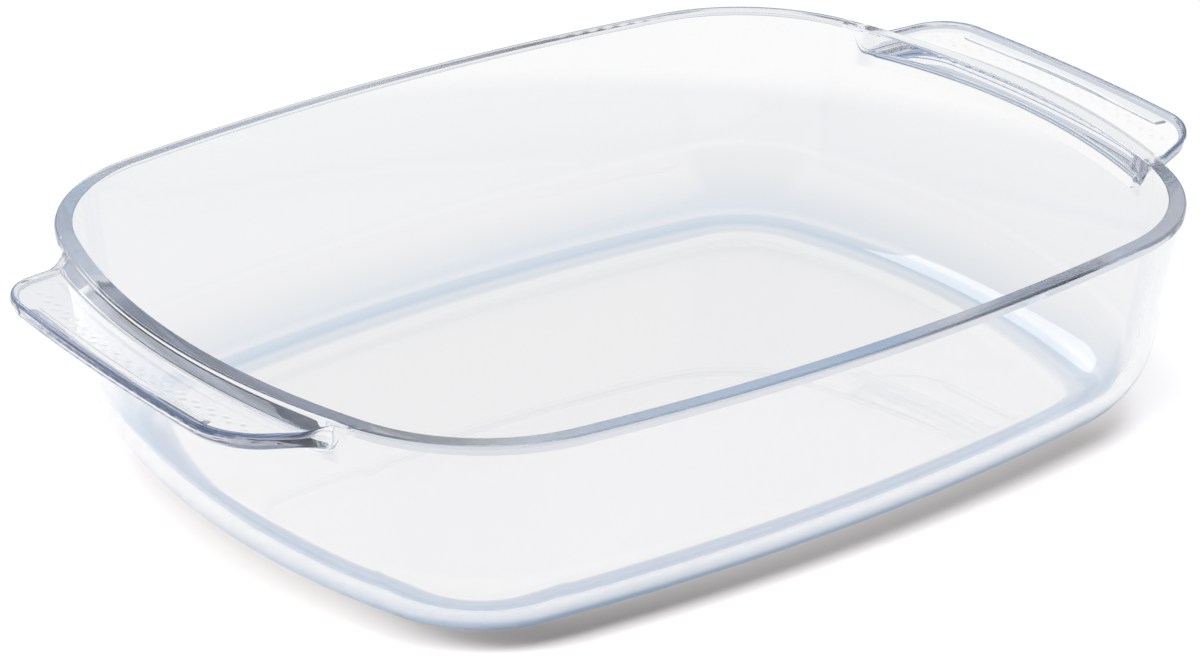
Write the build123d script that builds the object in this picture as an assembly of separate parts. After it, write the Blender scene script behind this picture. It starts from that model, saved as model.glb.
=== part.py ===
from build123d import *
from math import asin, atan, atan2, cos, degrees, hypot, pi, radians, sin, tan
import os

# Rectangular lasagna dish pressed in one piece from clear borosilicate glass,
# with bowed sides, a lip round its rim and a grip handle at each short end.
# Millimetres. The origin is under the middle of the base, +Z is up and
# +X runs along the dish, towards one of the handles.

# Rim seen from above: four bowed sides with rounded corners between them
rim_length = 309.5
rim_width = 231.6
short_side_bow = 226.0
long_side_bow = 704.0
corner_radius = 56.0
rim_bevel = 0.8

# Walls and base
height = 69.0
wall = 5.1
base = 5.0
wall_draft_degrees = 8.1
foot_radius = 31.0

# Lip round the top of the wall: its lower edge is the mould's parting line,
# which runs on round the handles at the same height
lip_depth = 2.6
lip_step = 0.3

# Handles: flat grips that leave the short sides a little below the rim and
# rise towards their outer edges
handle_reach = 20.15
handle_drop = 1.1
handle_rise = 0.95
handle_thickness = 5.0
handle_edge_bow = 640.0
handle_grip_length = 110.0
handle_side_degrees = 18.0
handle_corner_radius = 18.0
handle_flare_radius = 11.5
handle_top_bevel = 0.7
handle_under_bevel = 1.4
bevel_degrees = 45.0

# Cove under the root of each handle
cove_radius = 4.5

# Grip under each handle: a low bar along its edge and two staggered rows of
# bumps, with flat sides because there are so many of them
bar_width = 3.4
bar_height = 0.7
bar_edge_margin = 2.0
bar_end_margin = 12.0
grip_draft_degrees = 30.0
bump_diameter = 2.6
bump_sides = 6
bump_height = 0.6
bump_pitch = 5.95
bump_row_reach = 11.2
bump_row_gap = 1.9
bump_end_margin = 4.4

# How deep one body runs into the next where they are joined
merge_depth = 0.1
joint_depth = 1.5

half_length = rim_length / 2
half_width = rim_width / 2
tip_x = half_length + handle_reach
parting_height = height - lip_depth
short_centre = half_length - short_side_bow
long_centre = half_width - long_side_bow
wall_draft = radians(wall_draft_degrees)
handle_slope = atan(handle_rise / handle_reach)
bar_length = handle_grip_length - 2 * bar_end_margin
inner_bump_count = int((handle_grip_length - 2 * bump_end_margin) / bump_pitch)

# Where a handle grows out of the short side: half its width there with the
# flare, the turn that this is about the side's centre, and the inmost x
root_half_width = handle_grip_length / 2 + handle_reach * tan(radians(handle_side_degrees)) + handle_flare_radius
root_turn = asin(root_half_width / short_side_bow)
root_x = short_centre + (short_side_bow - wall) * cos(root_turn) - joint_depth


def handle_top(x):
    """Height of the handle's top face, at a distance along the middle of the dish."""
    return height - handle_drop + (x - half_length) * tan(handle_slope)


def handle_bottom(x):
    """Height of the handle's underside, at a distance along the middle of the dish."""
    return handle_top(x) - handle_thickness


def corner_centre():
    """Centre of the rounded corner that is tangent to a short and a long side."""
    short_reach = short_side_bow - corner_radius
    long_reach = long_side_bow - corner_radius
    span = hypot(short_centre, long_centre)
    along = (short_reach**2 - long_reach**2 + span**2) / (2 * span)
    across = (short_reach**2 - along**2) ** 0.5
    to_x = -short_centre / span
    to_y = long_centre / span
    return short_centre + along * to_x - across * to_y, along * to_y + across * to_x


def point_round(centre_x, centre_y, radius, angle):
    """Point on a circle, at an angle from the first axis."""
    return Vector(centre_x + radius * cos(angle), centre_y + radius * sin(angle))


def mirrored(point, side_x, side_y):
    """The same point in another quarter of the plan."""
    return Vector(point.X * side_x, point.Y * side_y)


def rim_outline(inset):
    """Face inside the rim's outline, moved in by the inset: eight arcs, each tangent to the next."""
    corner_x, corner_y = corner_centre()
    short_angle = atan2(corner_y, corner_x - short_centre)
    long_angle = atan2(corner_y - long_centre, corner_x)
    short_end = point_round(short_centre, 0, short_side_bow - inset, short_angle)
    long_end = point_round(0, long_centre, long_side_bow - inset, long_angle)
    turn = point_round(corner_x, corner_y, corner_radius - inset, (short_angle + long_angle) / 2)
    tip = Vector(half_length - inset, 0)
    crown = Vector(0, half_width - inset)
    arcs = []
    for side in (1, -1):
        for end in (1, -1):
            corner = [mirrored(point, side, end) for point in (short_end, turn, long_end)]
            arcs.append(ThreePointArc(*corner))
        short_side = [mirrored(short_end, side, 1), mirrored(tip, side, 1), mirrored(short_end, side, -1)]
        long_side = [mirrored(long_end, 1, side), mirrored(crown, 1, side), mirrored(long_end, -1, side)]
        arcs.append(ThreePointArc(*short_side))
        arcs.append(ThreePointArc(*long_side))
    return make_face(arcs)


def handle_wedge():
    """Plan of one handle before rounding: a bowed edge between two sides that open towards the dish."""
    half_grip = handle_grip_length / 2
    edge_x = tip_x - handle_edge_bow + (handle_edge_bow**2 - half_grip**2) ** 0.5
    back_y = half_grip + (edge_x - root_x) * tan(radians(handle_side_degrees))
    edge = ThreePointArc((edge_x, -half_grip), (tip_x, 0), (edge_x, half_grip))
    sides = Polyline((edge_x, half_grip), (root_x, back_y), (root_x, -back_y), (edge_x, -half_grip))
    return make_face(edge.edges() + sides.edges())


def grip_outline():
    """Face inside the outline of the dish with its +X handle, flared into the rim and rounded at its corners."""
    plan = rim_outline(merge_depth) + handle_wedge()
    flared = offset(offset(plan, handle_flare_radius), -handle_flare_radius)
    return offset(offset(flared, -handle_corner_radius), handle_corner_radius)


def handle_end(solid):
    """The part of a solid that lies outside the +X handle's root."""
    length = tip_x + handle_reach - root_x
    return solid & (Pos(root_x + length / 2, 0) * Box(length, rim_width, 2 * height))


def raised(sketch, z):
    """The same face at another height."""
    return Pos(0, 0, z) * sketch


def drawn_down(sketch, top, bottom, draft_degrees):
    """Solid below a face at the top height, which draws in on its way down."""
    return extrude(raised(sketch, top), top - bottom, dir=(0, 0, -1), taper=draft_degrees)


def turned_round_end(section):
    """Solid of revolution about the centre of the +X short side's bow, as wide as the handle's root."""
    half_turn = degrees(root_turn)
    ring = revolve(Plane.XZ * section, Axis((short_centre, 0, 0), (0, 0, 1)), 2 * half_turn)
    return Pos(short_centre, 0, 0) * Rot(0, 0, -half_turn) * Pos(-short_centre, 0, 0) * ring


def outer_bowl():
    """Outside of the bowl, solid, with the foot's large round and the lip on top."""
    bowl = drawn_down(rim_outline(lip_step), parting_height, 0, wall_draft_degrees)
    bowl = fillet(bowl.faces().sort_by(Axis.Z)[0].edges(), foot_radius)
    return bowl + extrude(raised(rim_outline(0), parting_height), lip_depth)


def cavity():
    """Inside of the bowl."""
    space = drawn_down(rim_outline(wall), height, base, wall_draft_degrees)
    return fillet(space.faces().sort_by(Axis.Z)[0].edges(), foot_radius - wall)


def sloped(blank):
    """A flat handle blank tilted about its root and lifted into place."""
    tilt = Rot(0, -degrees(handle_slope), 0)
    return Pos(half_length, 0, handle_top(half_length)) * tilt * Pos(-half_length, 0, 0) * blank


def upper_handle():
    """The +X handle laid flat with its top face at height 0: upright sides and a bevel round the top."""
    sides = drawn_down(grip_outline(), -handle_top_bevel, -handle_thickness, 0)
    shoulder = sides.faces().sort_by(Axis.Z)[-1]
    return handle_end(sides + extrude(shoulder, handle_top_bevel, taper=bevel_degrees))


def lower_handle():
    """The same flat handle as its lower half is: sides with the mould's draft and a bevel round the bottom."""
    sides = drawn_down(grip_outline(), 0, handle_under_bevel - handle_thickness, wall_draft_degrees)
    shoulder = sides.faces().sort_by(Axis.Z)[0]
    return handle_end(sides + extrude(shoulder, handle_under_bevel, dir=(0, 0, -1), taper=bevel_degrees))


def handle_halves():
    """The +X handle in two halves, above and below the parting line.

    The upper half has upright sides and the lower one has the mould's draft,
    so a small step runs round the handle where they meet.
    """
    parting = Plane.XY.offset(parting_height)
    return [split(sloped(upper_handle()), parting, Keep.TOP), split(sloped(lower_handle()), parting, Keep.BOTTOM)]


def root_cove():
    """Cove between the underside of the +X handle and the wall, fading out at both ends."""
    wall_x = half_length - lip_step - (parting_height - handle_bottom(half_length)) * tan(wall_draft)
    corner_z = handle_bottom(wall_x)
    turn = pi / 2 - wall_draft - handle_slope
    run = cove_radius * tan(turn / 2)
    on_plate = point_round(wall_x, corner_z, run, handle_slope)
    on_wall = point_round(wall_x, corner_z, run, -pi / 2 - wall_draft)
    centre = point_round(on_plate.X, on_plate.Y, cove_radius, handle_slope - pi / 2)
    on_curve = point_round(centre.X, centre.Y, cove_radius, pi / 2 + handle_slope + turn / 2)
    arc = ThreePointArc(on_plate, on_curve, on_wall)
    back_x = wall_x - joint_depth
    back_z = on_plate.Y + joint_depth
    back = Polyline(on_wall, (back_x, on_wall.Y), (back_x, back_z), (on_plate.X, back_z), on_plate)
    ring = turned_round_end(make_face(arc.edges() + back.edges()))
    return ring & drawn_down(grip_outline(), handle_top(half_length), on_wall.Y, wall_draft_degrees)


def grip_bar():
    """Low bar with round ends along the edge of the +X handle, on its underside."""
    radius = handle_edge_bow - bar_edge_margin - bar_width / 2
    half_angle = (bar_length - bar_width) / 2 / radius
    angles = (-half_angle, 0, half_angle)
    middle_line = ThreePointArc(*[point_round(tip_x - handle_edge_bow, 0, radius, angle) for angle in angles])
    underside = handle_bottom(tip_x - bar_edge_margin - bar_width / 2)
    plan = SlotArc(middle_line, bar_width)
    return drawn_down(plan, underside + bar_height, underside - bar_height, grip_draft_degrees)


def grip_bumps():
    """Two staggered rows of low bumps under the +X handle, along the bow of its side."""
    bump = RegularPolygon(bump_diameter / 2, bump_sides)
    bumps = []
    for row, count in ((0, inner_bump_count), (1, inner_bump_count + 1)):
        reach = bump_row_reach + row * bump_row_gap
        for number in range(count):
            angle = (number - (count - 1) / 2) * bump_pitch / (short_side_bow + reach)
            place = point_round(short_centre, 0, short_side_bow + reach, angle)
            underside = handle_bottom(place.X)
            plan = Pos(place.X, place.Y) * bump
            bumps.append(drawn_down(plan, underside + bump_height, underside - bump_height, grip_draft_degrees))
    return bumps


def handle():
    """Everything that belongs to the +X handle."""
    return handle_halves() + [root_cove(), grip_bar()] + grip_bumps()


def lasagna_dish():
    """The whole pressing: bowl and handles in one, hollowed, with a bevelled rim."""
    pieces = handle()
    solid = outer_bowl() + pieces + [mirror(piece, Plane.YZ) for piece in pieces]
    dish = solid - cavity()
    rim = dish.faces().filter_by(Plane.XY).sort_by(Axis.Z)[-1]
    return chamfer(rim.edges(), rim_bevel)


os.makedirs("parts", exist_ok=True)
dish = lasagna_dish()
dish.label = "dish"
export_step(dish, "parts/dish.step")
print("dish: volume", round(dish.volume), "mm3, size", dish.bounding_box().size)
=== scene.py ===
from math import acos, asin, atan, atan2, cos, hypot, pi, radians, sin, sqrt, tan

import bmesh
import bpy
from mathutils import Matrix, Vector


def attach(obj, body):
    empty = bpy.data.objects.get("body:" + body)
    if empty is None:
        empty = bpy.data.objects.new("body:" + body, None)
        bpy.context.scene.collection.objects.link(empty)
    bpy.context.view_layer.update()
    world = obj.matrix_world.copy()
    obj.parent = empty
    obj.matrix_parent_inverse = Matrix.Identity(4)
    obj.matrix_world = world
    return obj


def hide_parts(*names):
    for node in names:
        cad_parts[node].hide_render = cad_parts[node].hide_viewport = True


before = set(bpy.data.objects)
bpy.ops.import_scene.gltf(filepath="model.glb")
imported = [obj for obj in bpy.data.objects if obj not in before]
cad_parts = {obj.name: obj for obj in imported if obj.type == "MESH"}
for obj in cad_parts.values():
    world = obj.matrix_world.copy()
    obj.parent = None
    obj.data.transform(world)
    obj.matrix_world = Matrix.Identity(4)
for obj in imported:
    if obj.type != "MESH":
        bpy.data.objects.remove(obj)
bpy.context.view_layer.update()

# Lasagna dish pressed in one piece from clear borosilicate glass.
# Every length is in millimetres, and MM turns it into Blender's metres.
MM = 0.001

# Rim seen from above: bowed short and long sides with rounded corners
rim_length = 309.5
rim_width = 231.6
short_side_bow = 226.0
long_side_bow = 704.0
corner_radius = 56.0
rim_round = 1.1
inner_rim_round = 0.6

# Walls and base
height = 69.0
wall = 5.1
base = 5.0
wall_draft = radians(8.1)
foot_radius = 31.0

# Lip, which ends in the mould's parting line, and the bead, uneven in two waves, that it has on the handles
lip_depth = 2.6
lip_step = 0.3
parting_round = 0.12
parting_bead = 0.16
bead_waves = (2.9, 7.3)
bead_start = 0.5
bead_span = 0.4
least_upright = 3 * parting_round

# Handles. They start below the rim and rise towards their edge
handle_reach = 20.15
handle_drop = 2.6
handle_rise = 2.45
handle_thickness = 5.0
handle_edge_bow = 640.0
handle_grip_length = 110.0
handle_side_turn = radians(18.0)
handle_corner_radius = 18.0
handle_flare_radius = 11.5
handle_top_round = 0.9
handle_under_round = 1.4

# Root of each handle: the slope down from the rim, how much it bulges (1 is straight), and the cove below
root_step_reach = 4.0
root_step_bulge = 1.3
cove_radius = 4.5

# How far out of the wall a handle has its full section, its full width and its full thickness
full_section_reach = 6.5
neck_ease = 2.5
nose_reach = 3.0

# Grip under each handle: a low bar along its edge and two staggered rows of domes
bar_width = 3.2
bar_height = 0.7
bar_edge_margin = 2.4
bar_end_margin = 12.0
bar_shoulder = 0.5
bump_diameter = 2.4
bump_height = 0.075
bump_pitch = 5.95
bump_row_reach = 11.2
bump_row_gap = 1.9
bump_end_margin = 4.4
dome_power = 1.5

# Height on the outer wall where the fine mesh of a handle ends, and how far the bowl's mesh stays from it
patch_foot = 56.5
seam_width = 1.0
# Points of the mesh closer than this become one
weld_distance = 0.001

# How many stations of the mesh go along a handle's outline, and along each stretch of the rim
handle_stations = 266
root_stations = 120
corner_stations = 44
side_stations = 48

# How many steps the mesh takes round each round of the section and across the handle's underside
root_steps = 14
round_steps = 7
parting_steps = 3
under_round_steps = 9
cove_steps = 10
shoulder_steps = 4
underside_steps = 32
inner_foot_steps = 18
outer_foot_steps = 20

# Where the other rows of the mesh lie, as shares of the stretch that they cross
handle_top_rows = (0.02, 0.1, 0.3, 0.5, 0.7, 0.9, 0.98)
upright_rows = (0.06, 0.5, 0.78, 0.9)
ledge_rows = (0.5, 0.9)
drafted_rows = (0.04, 0.35, 0.65, 0.96)
underside_first_row = 0.002
underside_last_row = 0.99
handle_wall_rows = (0.03, 0.5, 1.0)
inner_wall_rows = (0.02, 0.2, 0.4, 0.6, 0.8, 0.98)
rim_top_rows = (0.05, 0.5, 0.85)
lip_rows = (0.1, 0.9)
under_lip_rows = (0.3, 0.7, 1.0)
outer_wall_rows = (0.3, 0.65, 0.97)
base_rings = (0.97, 0.8, 0.55, 0.3)

# The photograph's view: turn, rise and roll of the camera, how far it is from its aim, and its lens
view_turn = radians(-38.12)
view_rise = radians(25.62)
view_roll = radians(0.96)
view_distance = 1198.6
view_aim = (-22.3, -17.4, 40.9)
view_lens = 128.4
view_far = 20000.0

# Borosilicate glass: how strongly it bends light, and the tint and strength of what its body takes from it
glass_ior = 1.473
glass_absorption = "#dce4f0"
glass_density = 2.5
# The mould leaves the base's underside faintly matt up to this height
base_roughness = 0.08
base_rough_height = 1.5

# Painted shade, blue-grey, where the foot turns under and shows the shaded floor below it, by height
foot_painted_shade = ((0.0, "#ffffff"), (2.0, "#ffffff"), (2.8, "#d2e1f0"), (4.4, "#dfe9f3"), (4.9, "#ffffff"),
             (5.3, "#ffffff"), (6.6, "#eef3f9"), (10.0, "#f4f7fb"), (18.0, "#ffffff"), (20.0, "#ffffff"))
foot_painted_shade_top = 20.0
# Painted shade on the foot, blue, stronger where the foot is seen at a slant: its colour, the slants
# (0 head-on, 1 edge-on) where it starts and is full, and how much of it each height has (black none, white
# all)
slant_painted_shade = "#5f92c6"
slant_start = 0.3
slant_full = 0.85
slant_shares = ((0.0, "#000000"), (2.0, "#000000"), (2.7, "#ffffff"), (4.8, "#ffffff"), (4.9, "#000000"),
                (5.3, "#000000"), (5.6, "#ffffff"), (10.0, "#ffffff"), (16.0, "#a0a0a0"), (20.0, "#000000"))
# Painted dark reflection, navy blue, on the handles' edges and on the rim's side, and how much of it each
# stretch has
edge_blue = "#4a6ba0"
painted_reflection_shares = {"top": 0.9, "side": 0.1, "parting": 1.0, "under": 0.6, "neck": 0.2, "rim": 0.35}

# Light on its way to the floor: what glass lets through head-on and at a slant, and between which slants
shade_clear = "#fefefe"
shade_slanting = "#6a6668"
shade_start = 0.25
shade_full = 0.8
# Layer Weight's blend at which Facing is one minus the cosine
plain_facing = 0.5

# The floor's height, just under the base, and how far it reaches
floor_height = -0.1
floor_reach = 3000.0
# Its paper: the colour that lies open and the one that shows through the glass, and from how far to how far
# out it turns plain white
paper_colour = "#edeae9"
paper_behind = "#92949c"
paper_near = 150.0
paper_far = 270.0
paper_white = 1.02
# Share and level of the even light on the paper that shows through the glass, in place of the light that
# the glass itself would gather there
even_share = 0.85
even_level = 0.965

# The lamps, and the paper where its light is even
white = "#ffffff"

# The studio as the camera has it round itself: colours by height on each side, height being the sine of
# the rise. side_blend is how softly one side turns into the next
studio_sides = {
    "back": ((0.0, "#dcdcdc"), (0.1, "#46567a"), (0.2, "#46567a"), (0.28, "#c8d2de"), (0.34, "#ececee"),
             (0.49, "#ececee"), (0.52, "#ffffff"), (0.59, "#ffffff"), (0.63, "#9fb0c4"), (0.8, "#a0bad2"),
             (1.0, "#a0bcd6")),
    "left": ((0.0, "#c8c8ce"), (0.45, "#d4d2d2"), (0.7, "#ccced2"), (1.0, "#a0bcd6")),
    "right": ((0.0, "#dcdad8"), (0.5, "#f0ece6"), (0.76, "#e8e4e0"), (0.84, "#a0bcd6"), (1.0, "#a0bcd6")),
    "front": ((0.0, "#a7a9b5"), (0.3, "#8c90a0"), (0.45, "#9496a2"), (0.85, "#8c94a8"), (1.0, "#a0bcd6")),
}
side_blend = 0.12

# Soft lamps: place, aim, size along and across, watts, and whether the glass mirrors the lamp
lamps = {
    "key": ((-500.0, -400.0, 1000.0), (-400.0, 0.0, 0.0), (1300.0, 400.0), 20.0, False),
    "left": ((-1100.0, 500.0, 550.0), (-100.0, 0.0, 0.0), (500.0, 400.0), 12.0, False),
    "window": ((100.0, 2330.0, 2100.0), (0.0, 0.0, 0.0), (1000.0, 1300.0), 13.0, True),
}

# How many times light may pass or bounce. It runs a long way inside the glass, from face to face
light_bounces = 64

# Curve that sRGB values follow, and the straight start of it
srgb_knee = 0.04045
srgb_slope = 12.92
srgb_offset = 0.055
srgb_power = 2.4

# Places of the sockets of a colour mix, whose names repeat
mix_share = 0
mix_from = 6
mix_to = 7
mix_result = 2

half_length = rim_length / 2
half_width = rim_width / 2
tip_x = half_length + handle_reach
parting_height = height - lip_depth
short_centre = half_length - short_side_bow
long_centre = half_width - long_side_bow
handle_slope = atan(handle_rise / handle_reach)
bar_length = handle_grip_length - 2 * bar_end_margin
inner_bump_count = int((handle_grip_length - 2 * bump_end_margin) / bump_pitch)


def corner_centre():
    """Centre of the rounded corner that is tangent to a short and a long side."""
    short_reach = short_side_bow - corner_radius
    long_reach = long_side_bow - corner_radius
    span = hypot(short_centre, long_centre)
    along = (short_reach**2 - long_reach**2 + span**2) / (2 * span)
    across = sqrt(short_reach**2 - along**2)
    to_x = -short_centre / span
    to_y = long_centre / span
    return Vector((short_centre + along * to_x - across * to_y, along * to_y + across * to_x))


corner = corner_centre()
short_turn = atan2(corner.y, corner.x - short_centre)
long_turn = atan2(corner.y - long_centre, corner.x)


def heading(turn):
    """Unit vector in the plan, at a turn from the +X axis."""
    return Vector((cos(turn), sin(turn)))


def rim_point(turn, inset=0.0):
    """Point of the rim's outline where its outward normal has this turn, moved in by the inset."""
    quarter = acos(abs(cos(turn)))
    side_x = 1 if cos(turn) >= 0 else -1
    side_y = 1 if sin(turn) >= 0 else -1
    if quarter < short_turn:
        centre, radius = Vector((short_centre, 0.0)), short_side_bow
    elif quarter < long_turn:
        centre, radius = corner, corner_radius
    else:
        centre, radius = Vector((0.0, long_centre)), long_side_bow
    return Vector((side_x * centre.x, side_y * centre.y)) + heading(turn) * (radius - inset)


def outer_inset(z):
    """How far the outer wall, under the lip, lies inside the rim's outline."""
    return lip_step + (parting_height - z) * tan(wall_draft)


def inner_inset(z):
    """How far the inner wall lies inside the rim's outline."""
    return wall + (height - z) * tan(wall_draft)


def handle_top(x):
    """Height of the handle's top face."""
    return height - handle_drop + (x - half_length) * tan(handle_slope)


def smooth(value):
    """Rises from 0 to 1 with no kink at either end."""
    value = min(max(value, 0.0), 1.0)
    return value * value * (3 - 2 * value)


def steps(start, end, count):
    """Evenly spaced values from start to end, both included."""
    return [start + (end - start) * number / count for number in range(count + 1)]


def line_circle(normal, reach, centre, radius, side):
    """Point where the line at a reach along its normal crosses a circle, on one side."""
    foot = reach - centre.dot(normal)
    along = Vector((-normal.y, normal.x)) * side
    return centre + normal * foot + along * sqrt(radius**2 - foot**2)


# Half outline of a handle, from the middle of its edge to where its flare meets the rim's short side:
# bowed edge, round corner, straight side, flare
side_turn = pi / 2 - handle_side_turn
side_normal = heading(side_turn)
edge_centre = Vector((tip_x - handle_edge_bow, 0.0))
half_grip = handle_grip_length / 2
grip_end = Vector((edge_centre.x + sqrt(handle_edge_bow**2 - half_grip**2), half_grip))
side_reach = grip_end.dot(side_normal)
corner_arc_centre = line_circle(
    side_normal, side_reach - handle_corner_radius, edge_centre, handle_edge_bow - handle_corner_radius, -1
)
flare_centre = line_circle(
    side_normal,
    side_reach + handle_flare_radius,
    Vector((short_centre, 0.0)),
    short_side_bow + handle_flare_radius,
    -1,
)
root_turn = atan2(flare_centre.y, flare_centre.x - short_centre)
edge_turn = asin(corner_arc_centre.y / (handle_edge_bow - handle_corner_radius))
side_start = corner_arc_centre + side_normal * handle_corner_radius
side_end = flare_centre - side_normal * handle_flare_radius
outline_lengths = (
    handle_edge_bow * edge_turn,
    handle_corner_radius * (side_turn - edge_turn),
    (side_end - side_start).length,
    handle_flare_radius * (side_turn - root_turn),
)


def handle_outline(share):
    """Point and outward normal of the +X handle's outline: share -1 to 1 from one flare to the other."""
    mirror = -1 if share < 0 else 1
    reach = abs(share) * sum(outline_lengths)
    edge, round_corner, side, flare = outline_lengths
    if reach < edge:
        turn = reach / handle_edge_bow
        point = edge_centre + heading(turn) * handle_edge_bow
    elif reach < edge + round_corner:
        turn = edge_turn + (reach - edge) / handle_corner_radius
        point = corner_arc_centre + heading(turn) * handle_corner_radius
    elif reach < edge + round_corner + side:
        turn = side_turn
        point = side_start.lerp(side_end, (reach - edge - round_corner) / side)
    else:
        turn = side_turn - (reach - edge - round_corner - side) / handle_flare_radius
        point = flare_centre - heading(turn) * handle_flare_radius
    normal = heading(turn)
    return Vector((point.x, mirror * point.y)), Vector((normal.x, mirror * normal.y))


def raise_to(plan, z):
    """Point in space over a point of the plan."""
    return Vector((plan.x, plan.y, z))


def bar_depth(plan):
    """How far the bar under the handle's edge stands down at a point of the plan."""
    from_centre = plan - edge_centre
    middle_radius = handle_edge_bow - bar_edge_margin - bar_width / 2
    half_straight = (bar_length - bar_width) / 2
    along = atan2(from_centre.y, from_centre.x) * middle_radius
    past_end = max(abs(along) - half_straight, 0.0)
    off_line = hypot(from_centre.length - middle_radius, past_end)
    return bar_height * smooth((bar_width / 2 + bar_shoulder / 2 - off_line) / bar_shoulder)


def underside_rows(run, start):
    """Shares of the way from a handle's edge to its cove: over the bar's shoulders, then even ones."""
    sides = (bar_edge_margin, bar_edge_margin + bar_width)
    across = [bar_shoulder * share for share in steps(-0.5, 0.5, shoulder_steps)]
    shoulders = [side + offset for side in sides for offset in across]
    first = [(reach - start) / max(run, 2 * full_section_reach) for reach in shoulders]
    even = steps(first[-1], 1, underside_steps)[1:-1]
    return [underside_first_row] + first + even + [underside_last_row]


def bump_depth(plan):
    """How far the nearest bump stands down at a point of the plan: two staggered rows of domes."""
    from_centre = plan - Vector((short_centre, 0.0))
    reach = from_centre.length
    depth = 0.0
    for row, count in ((0, inner_bump_count), (1, inner_bump_count + 1)):
        row_radius = short_side_bow + bump_row_reach + row * bump_row_gap
        along = atan2(from_centre.y, from_centre.x) * row_radius / bump_pitch + (count - 1) / 2
        number = min(max(round(along), 0), count - 1)
        off = hypot((along - number) * bump_pitch, reach - row_radius) / (bump_diameter / 2)
        if off < 1:
            depth = max(depth, bump_height * (1 - off**2) ** dome_power)
    return depth


def underside(plan):
    """Height of the handle's underside with its bar and bumps, at a point of the plan."""
    return handle_top(plan.x) - handle_thickness - bar_depth(plan) - bump_depth(plan)


def bead_reach(share):
    """How far the uneven bead on a handle's parting line stands out."""
    along = share * sum(outline_lengths)
    short, long = (sin(2 * pi * along / wave) for wave in bead_waves)
    return parting_bead * (1 + short * long) / 2


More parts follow.
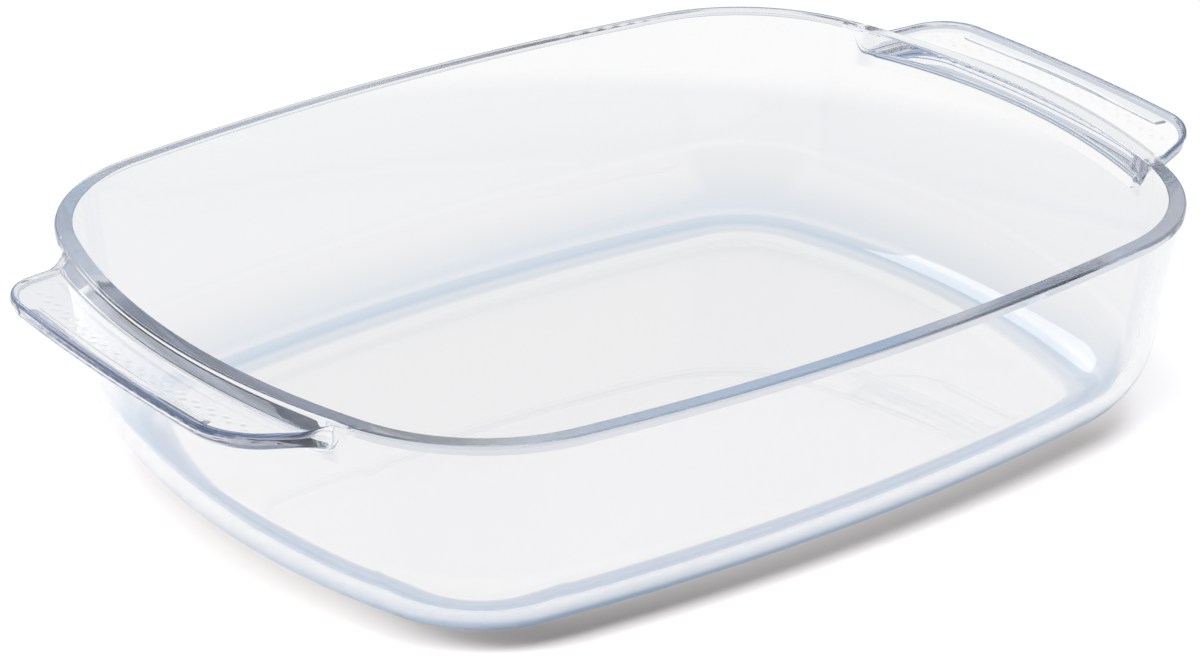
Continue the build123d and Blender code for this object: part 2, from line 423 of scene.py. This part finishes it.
def handle_section(share):
    """Section of the +X handle at a share of its outline.

    Returns its points, from the rim's flat top out over the handle, round its edge and back to the wall,
    and the share of painted dark reflection at each. It fades from the full section to the plain lip at the
    necks.
    """
    turn = share * root_turn
    root, root_normal = rim_point(turn), heading(turn)
    edge, edge_normal = handle_outline(share)
    edge = root + (edge - root) * smooth((edge - root).length / neck_ease)
    reach = (edge - root).length
    part = smooth(reach / full_section_reach)
    fade = min(reach / full_section_reach, 1.0)
    rows = []

    # Down from the rim: a plain round at the neck, a round and a slope over the handle
    step_reach = min(root_step_reach, reach / 2) * part
    plate_x = (root + root_normal * step_reach).x
    drop = max(height - handle_top(plate_x), rim_round)
    for number in range(root_steps + 1):
        angle = number / root_steps * pi / 2
        plain_out = sin(angle) * rim_round
        plain_down = (1 - cos(angle)) * rim_round
        if number <= root_steps // 2:
            full_out = sin(2 * angle) * rim_round
            full_down = (1 - cos(2 * angle)) * rim_round
        else:
            along = 2 * number / root_steps - 1
            full_out = rim_round + step_reach * along
            full_down = rim_round + (drop - rim_round) * (1 - (1 - along) ** root_step_bulge)
        out = plain_out * (1 - part) + full_out * part - rim_round
        down = plain_down * (1 - part) + full_down * part
        rows.append(raise_to(root + root_normal * out, height - down))
    past_step = len(rows)

    # Top face
    top_round = handle_top_round * fade
    plate_start = root + root_normal * step_reach
    plate_end = edge - edge_normal * top_round
    for place in handle_top_rows:
        plan = plate_start.lerp(plate_end, place)
        level = handle_top(plan.x) * part + (height - rim_round) * (1 - part)
        rows.append(raise_to(plan, level))
    reflection_paint = [0.0] * len(rows)

    # Edge: round, then upright as far as the parting line, with the bead above it
    top = handle_top(plate_end.x) * part + (height - rim_round) * (1 - part)
    for angle in steps(0, pi / 2, round_steps):
        out = top_round * (sin(angle) - 1)
        rows.append(raise_to(edge + edge_normal * out, top - top_round * (1 - cos(angle))))
    reflection_paint += [painted_reflection_shares["top"] * part] * (len(rows) - len(reflection_paint))
    side_top = top - top_round
    line_z = min(parting_height, side_top - least_upright)
    bead = bead_reach(share) * part
    for place in upright_rows:
        out = bead * smooth((place - bead_start) / bead_span)
        z = side_top + (line_z + parting_round - side_top) * place
        rows.append(raise_to(edge + edge_normal * out, z))
    reflection_paint += [painted_reflection_shares["side"] * part] * (len(rows) - len(reflection_paint))

    # Step at the parting line
    for angle in steps(0, pi / 2, parting_steps):
        out = bead - parting_round * (1 - cos(angle))
        rows.append(raise_to(edge + edge_normal * out, line_z + parting_round * (1 - sin(angle))))
    for place in ledge_rows:
        inset = parting_round + (lip_step - parting_round) * place
        rows.append(raise_to(edge - edge_normal * inset, line_z))
    reflection_paint += [painted_reflection_shares["parting"] * part] * (len(rows) - len(reflection_paint))

    # Drafted lower half and its round, which rise to the parting line at the necks like a nose
    full_bottom = handle_top(edge.x) - handle_thickness
    nose = sqrt(1 - (1 - min(reach / nose_reach, 1.0)) ** 2)
    lift = (line_z - full_bottom) * (1 - nose)
    bottom = full_bottom + lift
    under_round = handle_under_round * fade
    tangent = under_round * (1 + sin(wall_draft))
    for place in drafted_rows:
        z = line_z + (bottom + tangent - line_z) * place
        rows.append(raise_to(edge - edge_normal * outer_inset(z), z))
    reflection_paint += [painted_reflection_shares["side"] * part] * (len(rows) - len(reflection_paint))
    round_z = bottom + under_round
    round_in = outer_inset(bottom + tangent) + under_round * cos(wall_draft)
    for angle in steps(-wall_draft, pi / 2, under_round_steps):
        out = under_round * cos(angle) - round_in
        rows.append(raise_to(edge + edge_normal * out, round_z - under_round * sin(angle)))
    reflection_paint += [painted_reflection_shares["under"] * part] * (len(rows) - len(reflection_paint))

    # Underside, with its bar and bumps, as far as the cove
    cove = cove_radius * fade
    wall_in = outer_inset(handle_top(root.x) - handle_thickness + lift)
    corner_z = handle_top((root - root_normal * wall_in).x) - handle_thickness + lift
    opening = (pi / 2 - wall_draft - handle_slope) / 2
    tangent_run = cove * tan(opening)
    under_start = edge - edge_normal * round_in
    under_end = root + root_normal * (tangent_run - wall_in)
    for place in underside_rows((under_end - under_start).length, round_in):
        plan = under_start.lerp(under_end, place)
        rows.append(raise_to(plan, underside(plan) + lift))

    # Cove down to the wall, and the wall as far as the foot of this mesh
    centre_out = tangent_run - wall_in + cove * sin(handle_slope)
    centre_z = corner_z - cove * cos(handle_slope) + tangent_run * sin(handle_slope)
    for angle in steps(pi / 2 + handle_slope, pi - wall_draft, cove_steps):
        out = centre_out + cove * cos(angle)
        rows.append(raise_to(root + root_normal * out, centre_z + cove * sin(angle)))
    foot_z = rows[-1].z
    for place in handle_wall_rows:
        z = foot_z + (patch_foot - foot_z) * place
        rows.append(raise_to(root - root_normal * outer_inset(z), z))
    reflection_paint += [0.0] * (len(rows) - len(reflection_paint))

    # The necks have a little painted dark reflection all round
    at_neck = smooth(reach / neck_ease) * (1 - smooth((reach - neck_ease) / full_section_reach))
    neck_reflection_paint = painted_reflection_shares["neck"] * at_neck
    return rows, reflection_paint[:past_step] + [max(blue, neck_reflection_paint) for blue in reflection_paint[past_step:]]


def wall_rows():
    """Inset and height of each row of the plain section, from the inner base over the rim to the outer.

    Returns them with the places, in that list, of the rim's flat top where a handle's mesh
    starts and of the row on the outer wall where it ends.
    """
    inner_radius = foot_radius - wall
    inner_centre_z = base + inner_radius
    inner_middle = inner_inset(inner_centre_z) + inner_radius / cos(wall_draft)
    rows = []
    for angle in steps(pi / 2, wall_draft, inner_foot_steps):
        rows.append((inner_middle - inner_radius * cos(angle), inner_centre_z - inner_radius * sin(angle)))
    start_z = rows[-1][1]
    round_start = height - inner_rim_round
    for place in inner_wall_rows:
        z = start_z + (round_start - start_z) * place
        rows.append((inner_inset(z), z))
    inner_edge = inner_inset(round_start)
    for angle in steps(0, pi / 2, round_steps):
        out = inner_rim_round * (1 - cos(angle))
        rows.append((inner_edge - out, round_start + inner_rim_round * sin(angle)))
    flat_start = rows[-1][0]
    rim_start = height - rim_round
    for place in rim_top_rows:
        rows.append((flat_start + (rim_round - flat_start) * place, height))
    patch_start = len(rows) - 1
    for angle in steps(0, pi / 2, round_steps):
        rows.append((rim_round * (1 - sin(angle)), rim_start + rim_round * cos(angle)))
    for place in lip_rows:
        rows.append((0.0, rim_start + (parting_height + parting_round - rim_start) * place))
    for angle in steps(0, pi / 2, parting_steps):
        rows.append((parting_round * (1 - cos(angle)), parting_height + parting_round * (1 - sin(angle))))
    rows.append((lip_step, parting_height))
    rows.append((outer_inset(parting_height - parting_round), parting_height - parting_round))
    bowl_foot = patch_foot - seam_width
    for place in under_lip_rows:
        z = parting_height + (bowl_foot - parting_height) * place
        rows.append((outer_inset(z), z))
    patch_end = len(rows) - 1
    outer_middle = outer_inset(foot_radius) + foot_radius / cos(wall_draft)
    foot_top = foot_radius * (1 - sin(wall_draft))
    for place in outer_wall_rows:
        z = bowl_foot + (foot_top - bowl_foot) * place
        rows.append((outer_inset(z), z))
    for angle in steps(wall_draft, pi / 2, outer_foot_steps):
        rows.append((outer_middle - foot_radius * cos(angle), foot_radius - foot_radius * sin(angle)))
    return rows, patch_start, patch_end


def rim_turns():
    """Turns of the stations all the way round the rim, from the middle of the +X handle."""
    quarter = steps(0, root_turn, root_stations // 2)
    quarter += steps(root_turn, long_turn, corner_stations)[1:]
    quarter += steps(long_turn, pi / 2, side_stations // 2)[1:]
    half = quarter + [pi - turn for turn in reversed(quarter[:-1])]
    return half + [turn + pi for turn in half[1:-1]]


def sew(faces, first, second):
    """Joins two rows of vertices with different counts by a strip of triangles."""
    one, other = 0, 0
    while one < len(first) - 1 or other < len(second) - 1:
        ahead = (one + 1) / max(len(first) - 1, 1) <= (other + 1) / max(len(second) - 1, 1)
        if other == len(second) - 1 or (ahead and one < len(first) - 1):
            faces.append((first[one], first[one + 1], second[other]))
            one += 1
        else:
            faces.append((first[one], second[other + 1], second[other]))
            other += 1


def stations_off(station, end, count):
    """How many stations a face of the bowl lies from the middle of a handle, the shorter way round."""
    ahead = (station - end) % count
    return ahead if ahead < count / 2 else (end - station - 1) % count


def glass_mesh():
    """The whole dish as one mesh: rows round the bowl and a finer mesh on each handle, sewn together.

    Returns its points, its faces and the share of painted dark reflection at each point.
    """
    turns = rim_turns()
    rows, patch_start, patch_end = wall_rows()
    count = len(turns)
    root = root_stations // 2 + 1
    points, faces = [], []
    for inset, z in rows:
        points += [raise_to(rim_point(turn, inset), z) for turn in turns]
    on_rim_side = [inset < rim_round / 2 and z > parting_height - parting_round for inset, z in rows]
    # Painted dark reflection on the rim's side
    reflection_paint = [painted_reflection_shares["rim"] * side for side in on_rim_side for turn in turns]

    # Bowl, with a hole in place of each handle
    ends = (0, count // 2)
    for row in range(len(rows) - 1):
        for station in range(count):
            near = min(stations_off(station, end, count) for end in ends)
            if patch_start <= row < patch_end and near < root:
                continue
            after = (station + 1) % count
            low, high = row * count, (row + 1) * count
            faces.append((low + station, low + after, high + after, high + station))

    # Handles: the -X one is the +X one turned by half a turn
    sections = [handle_section(share) for share in steps(-1, 1, handle_stations)]
    depth = len(sections[0][0])
    for end, flip in zip(ends, (1, -1)):
        first = len(points)
        for section, section_reflection_paint in sections:
            points += [Vector((flip * point.x, flip * point.y, point.z)) for point in section]
            reflection_paint += section_reflection_paint
        for station in range(handle_stations):
            for row in range(depth - 1):
                low = first + station * depth + row
                faces.append((low, low + depth, low + depth + 1, low + 1))
        bowl_side = [(end + offset) % count for offset in range(-root, root + 1)]
        top_row = [first + station * depth for station in range(handle_stations + 1)]
        foot_row = [place + depth - 1 for place in top_row]
        sew(faces, [patch_start * count + station for station in bowl_side], top_row)
        sew(faces, foot_row, [patch_end * count + station for station in bowl_side])
        bowl_columns = [
            [row * count + station for row in range(patch_start, patch_end + 1)]
            for station in (bowl_side[0], bowl_side[-1])
        ]
        handle_columns = [[column + row for row in range(depth)] for column in (top_row[0], top_row[-1])]
        sew(faces, handle_columns[0], bowl_columns[0])
        sew(faces, bowl_columns[1], handle_columns[1])

    # Base, inside and underneath: rings that shrink towards its middle, closed by one face
    for row, last in ((0, False), (len(rows) - 1, True)):
        ring = [row * count + station for station in range(count)]
        for share in base_rings:
            inner = len(points)
            points += [raise_to(rim_point(turn, rows[row][0]) * share, rows[row][1]) for turn in turns]
            for station in range(count):
                after = (station + 1) % count
                quad = (ring[station], ring[after], inner + after, inner + station)
                faces.append(quad if last else quad[::-1])
            ring = list(range(inner, inner + count))
        faces.append(tuple(ring) if last else tuple(ring[::-1]))
    reflection_paint += [0.0] * (len(points) - len(reflection_paint))
    return points, faces, reflection_paint


def make_dish():
    """The pressing as a Blender object."""
    points, faces, reflection_paint = glass_mesh()
    mesh = bpy.data.meshes.new("lasagna_dish")
    mesh.from_pydata([point * MM for point in points], [], faces)
    mesh.polygons.foreach_set("use_smooth", [True] * len(mesh.polygons))
    # Each point carries its share of the painted dark reflection
    mesh.attributes.new("edge_blue", "FLOAT", "POINT").data.foreach_set("value", reflection_paint)
    mesh.update()
    piece = bpy.data.objects.new("lasagna_dish", mesh)
    bpy.context.scene.collection.objects.link(piece)
    return piece


def weld(piece):
    """Closes the mesh's seams, clears the bowl's points behind the handles, turns the faces outwards."""
    work = bmesh.new()
    work.from_mesh(piece.data)
    loose = [point for point in work.verts if not point.link_faces]
    bmesh.ops.delete(work, geom=loose, context="VERTS")
    bmesh.ops.remove_doubles(work, verts=work.verts, dist=weld_distance * MM)
    bmesh.ops.recalc_face_normals(work, faces=work.faces)
    work.to_mesh(piece.data)
    work.free()


def linear(code):
    """An sRGB hex colour as the linear values that a shader takes."""
    values = [int(code[place : place + 2], 16) / 255 for place in (1, 3, 5)]
    curve = [((value + srgb_offset) / (1 + srgb_offset)) ** srgb_power for value in values]
    straight = [value / srgb_slope for value in values]
    return tuple(s if v <= srgb_knee else c for v, s, c in zip(values, straight, curve)) + (1.0,)


def add_node(tree, kind, settings=None, inputs=None):
    """Adds a node with its settings, and with values or links on its inputs.

    An input goes by its name, or by its place where names repeat. The setting stops holds the
    positions and colours of a colour ramp.
    """
    node = tree.nodes.new(kind)
    for name, value in (settings or {}).items():
        if name != "stops":
            setattr(node, name, value)
            continue
        elements = node.color_ramp.elements
        for position, code in value[1:-1]:
            elements.new(position)
        for element, (position, code) in zip(elements, value):
            element.position = position
            element.color = linear(code)
    for name, value in (inputs or {}).items():
        if isinstance(value, bpy.types.NodeSocket):
            tree.links.new(value, node.inputs[name])
        else:
            node.inputs[name].default_value = value
    return node


def up_the_foot(stops):
    """Stops by height as shares of the height that the foot's painted shade reaches."""
    return [(level / foot_painted_shade_top, code) for level, code in stops]


def borosilicate_glass():
    """Clear borosilicate glass, pressed in a mould and fire polished.

    It bends what lies behind it and mirrors the studio along its rim and edges. It looks colourless
    but for a faint blue of its body where light runs far in it, painted blue-grey shade on the foot's round
    and painted dark reflection along the rim's side and the handles' edges.
    """
    material = bpy.data.materials.new("borosilicate_glass")
    material.use_nodes = True
    tree = material.node_tree
    tree.nodes.clear()
    colour = {"data_type": "RGBA"}

    # Painted shade of the foot, blue-grey, by height and by slant
    place = add_node(tree, "ShaderNodeTexCoord").outputs["Object"]
    z = add_node(tree, "ShaderNodeSeparateXYZ", inputs={"Vector": place}).outputs["Z"]
    rise = {"Value": z, "From Max": foot_painted_shade_top * MM}
    level = add_node(tree, "ShaderNodeMapRange", inputs=rise).outputs["Result"]
    head_on = add_node(tree, "ShaderNodeValToRGB", {"stops": up_the_foot(foot_painted_shade)}, {"Fac": level})
    facing = add_node(tree, "ShaderNodeLayerWeight", inputs={"Blend": plain_facing}).outputs["Facing"]
    slants = {"Value": facing, "From Min": slant_start, "From Max": slant_full}
    slant = add_node(tree, "ShaderNodeMapRange", inputs=slants).outputs["Result"]
    low = add_node(tree, "ShaderNodeValToRGB", {"stops": up_the_foot(slant_shares)}, {"Fac": level})
    low_slant = {0: slant, 1: low.outputs["Color"]}
    share = add_node(tree, "ShaderNodeMath", {"operation": "MULTIPLY"}, low_slant).outputs[0]
    foot = {mix_share: share, mix_from: head_on.outputs["Color"], mix_to: linear(slant_painted_shade)}
    foot_tint = add_node(tree, "ShaderNodeMix", colour, foot).outputs[mix_result]

    # Painted dark reflection on the edges and the rim's side
    share = add_node(tree, "ShaderNodeAttribute", {"attribute_name": "edge_blue"}).outputs["Fac"]
    edges = {mix_share: share, mix_from: foot_tint, mix_to: linear(edge_blue)}
    tint = add_node(tree, "ShaderNodeMix", colour, edges).outputs[mix_result]

    # Finish: polished all over but for the base's underside
    matt = {"Value": z, "From Max": base_rough_height * MM, "To Min": base_roughness, "To Max": 0.0}
    roughness = add_node(tree, "ShaderNodeMapRange", inputs=matt).outputs["Result"]
    finish = {"Base Color": tint, "Roughness": roughness, "IOR": glass_ior, "Transmission Weight": 1.0}
    glass = add_node(tree, "ShaderNodeBsdfPrincipled", inputs=finish)
    body = {"Color": linear(glass_absorption), "Density": glass_density}
    absorption = add_node(tree, "ShaderNodeVolumeAbsorption", inputs=body)

    # Shadow: glass lets light through and darkens it where it stands at a slant
    slants = {"Value": facing, "From Min": shade_start, "From Max": shade_full}
    slant = add_node(tree, "ShaderNodeMapRange", inputs=slants).outputs["Result"]
    passes = {mix_share: slant, mix_from: linear(shade_clear), mix_to: linear(shade_slanting)}
    shade = add_node(tree, "ShaderNodeMix", colour, passes).outputs[mix_result]
    clear = add_node(tree, "ShaderNodeBsdfTransparent", inputs={"Color": shade})
    to_floor = add_node(tree, "ShaderNodeLightPath").outputs["Is Shadow Ray"]
    kinds = {0: to_floor, 1: glass.outputs["BSDF"], 2: clear.outputs["BSDF"]}
    both = add_node(tree, "ShaderNodeMixShader", inputs=kinds)
    surface = {"Surface": both.outputs["Shader"], "Volume": absorption.outputs["Volume"]}
    add_node(tree, "ShaderNodeOutputMaterial", inputs=surface)
    return material


def matt_white_paper():
    """Matt white paper. Close by it takes the dish's soft shade, and far off it looks plain white."""
    material = bpy.data.materials.new("matt_white_paper")
    material.use_nodes = True
    tree = material.node_tree
    tree.nodes.clear()
    through = add_node(tree, "ShaderNodeLightPath").outputs["Is Transmission Ray"]
    tones = {mix_share: through, mix_from: linear(paper_colour), mix_to: linear(paper_behind)}
    tone = add_node(tree, "ShaderNodeMix", {"data_type": "RGBA"}, tones).outputs[mix_result]
    paper = add_node(tree, "ShaderNodeBsdfDiffuse", inputs={"Color": tone})

    # Even light: far from the dish, and in part through the glass
    place = add_node(tree, "ShaderNodeTexCoord").outputs["Object"]
    reach = add_node(tree, "ShaderNodeVectorMath", {"operation": "LENGTH"}, {0: place}).outputs["Value"]
    fade = {"Value": reach, "From Min": paper_near * MM, "From Max": paper_far * MM}
    far = add_node(tree, "ShaderNodeMapRange", inputs=fade).outputs["Result"]
    product = {"operation": "MULTIPLY"}
    behind = add_node(tree, "ShaderNodeMath", product, {0: through, 1: even_share}).outputs[0]
    share = add_node(tree, "ShaderNodeMath", {"operation": "MAXIMUM"}, {0: behind, 1: far}).outputs[0]
    levels = {"Value": through, "To Min": paper_white, "To Max": even_level}
    level = add_node(tree, "ShaderNodeMapRange", inputs=levels).outputs["Result"]
    even = add_node(tree, "ShaderNodeEmission", inputs={"Color": linear(white), "Strength": level})
    kinds = {0: share, 1: paper.outputs["BSDF"], 2: even.outputs["Emission"]}
    both = add_node(tree, "ShaderNodeMixShader", inputs=kinds)
    add_node(tree, "ShaderNodeOutputMaterial", inputs={"Surface": both.outputs["Shader"]})
    return material


def make_floor():
    """The sheet of paper that the dish stands on."""
    signs = ((-1, -1), (1, -1), (1, 1), (-1, 1))
    corners = [Vector((x * floor_reach, y * floor_reach, floor_height)) * MM for x, y in signs]
    mesh = bpy.data.meshes.new("floor")
    mesh.from_pydata(corners, [], [(0, 1, 2, 3)])
    floor = bpy.data.objects.new("floor", mesh)
    bpy.context.scene.collection.objects.link(floor)
    mesh.materials.append(matt_white_paper())


def make_studio():
    """The room round the dish, which shows only where the glass mirrors or bends it."""
    world = bpy.data.worlds.new("studio")
    bpy.context.scene.world = world
    world.use_nodes = True
    tree = world.node_tree
    tree.nodes.clear()
    place = add_node(tree, "ShaderNodeTexCoord").outputs["Generated"]
    up = add_node(tree, "ShaderNodeSeparateXYZ", inputs={"Vector": place}).outputs["Z"]
    sides = {}
    for side, stops in studio_sides.items():
        sides[side] = add_node(tree, "ShaderNodeValToRGB", {"stops": stops}, {"Fac": up}).outputs["Color"]

    # How far front and right a direction points, and the blend from each side to the next
    forward = Vector((sin(view_turn), -cos(view_turn), 0.0))
    rightward = Vector((cos(view_turn), sin(view_turn), 0.0))
    product = {"operation": "DOT_PRODUCT"}
    size = {"operation": "ABSOLUTE"}
    soft = {"From Min": -side_blend, "From Max": side_blend}
    near = add_node(tree, "ShaderNodeVectorMath", product, {0: place, 1: forward}).outputs["Value"]
    across = add_node(tree, "ShaderNodeVectorMath", product, {0: place, 1: rightward}).outputs["Value"]
    ahead = add_node(tree, "ShaderNodeMath", size, {0: near}).outputs[0]
    aside = add_node(tree, "ShaderNodeMath", size, {0: across}).outputs[0]
    more = add_node(tree, "ShaderNodeMath", {"operation": "SUBTRACT"}, {0: ahead, 1: aside}).outputs[0]
    to_right = add_node(tree, "ShaderNodeMapRange", inputs={"Value": across, **soft}).outputs["Result"]
    to_front = add_node(tree, "ShaderNodeMapRange", inputs={"Value": near, **soft}).outputs["Result"]
    to_axis = add_node(tree, "ShaderNodeMapRange", inputs={"Value": more, **soft}).outputs["Result"]

    colour = {"data_type": "RGBA"}
    flanks = {mix_share: to_right, mix_from: sides["left"], mix_to: sides["right"]}
    flank = add_node(tree, "ShaderNodeMix", colour, flanks).outputs[mix_result]
    axes = {mix_share: to_front, mix_from: sides["back"], mix_to: sides["front"]}
    axis = add_node(tree, "ShaderNodeMix", colour, axes).outputs[mix_result]
    all_round = {mix_share: to_axis, mix_from: flank, mix_to: axis}
    room = add_node(tree, "ShaderNodeMix", colour, all_round).outputs[mix_result]
    background = add_node(tree, "ShaderNodeBackground", inputs={"Color": room, "Strength": 1.0})
    add_node(tree, "ShaderNodeOutputWorld", inputs={"Surface": background.outputs["Background"]})


def soft_light(name, place, aim, size, power, mirrored):
    """A soft white lamp, which the glass mirrors or not."""
    data = bpy.data.lights.new(name, "AREA")
    data.shape = "RECTANGLE"
    data.size, data.size_y = [side * MM for side in size]
    data.color = linear(white)[:3]
    data.energy = power
    lamp = bpy.data.objects.new(name, data)
    bpy.context.scene.collection.objects.link(lamp)
    lamp.visible_transmission = False
    lamp.visible_glossy = mirrored
    lamp.visible_camera = False
    stand = Vector(place) * MM
    facing = Vector(aim) * MM - stand
    lamp.matrix_world = Matrix.Translation(stand) @ facing.to_track_quat("-Z", "Y").to_matrix().to_4x4()


def make_camera():
    """The camera at the photograph's viewing angle."""
    back = Vector((sin(view_turn) * cos(view_rise), -cos(view_turn) * cos(view_rise), sin(view_rise)))
    right = Vector((cos(view_turn), sin(view_turn), 0.0))
    up = back.cross(right)
    rolled_right = right * cos(view_roll) + up * sin(view_roll)
    rolled_up = up * cos(view_roll) - right * sin(view_roll)
    data = bpy.data.cameras.new("camera")
    data.lens = view_lens
    data.clip_end = view_far * MM
    camera = bpy.data.objects.new("camera", data)
    bpy.context.scene.collection.objects.link(camera)
    place = (Vector(view_aim) + back * view_distance) * MM
    axes = Matrix((rolled_right, rolled_up, back)).transposed()
    camera.matrix_world = Matrix.Translation(place) @ axes.to_4x4()
    bpy.context.scene.camera = camera


dish = make_dish()
weld(dish)
dish.data.materials.append(borosilicate_glass())
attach(dish, "root")
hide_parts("dish")
make_floor()
make_studio()
for name, settings in lamps.items():
    soft_light(name, *settings)
make_camera()
bpy.context.scene.view_settings.view_transform = "Standard"

# Light patterns that glass gathers on the floor aren't traced: the tinted shadow stands in for them
cycles = bpy.context.scene.cycles
cycles.max_bounces = light_bounces
cycles.glossy_bounces = light_bounces
cycles.transmission_bounces = light_bounces
cycles.caustics_refractive = False
cycles.caustics_reflective = False
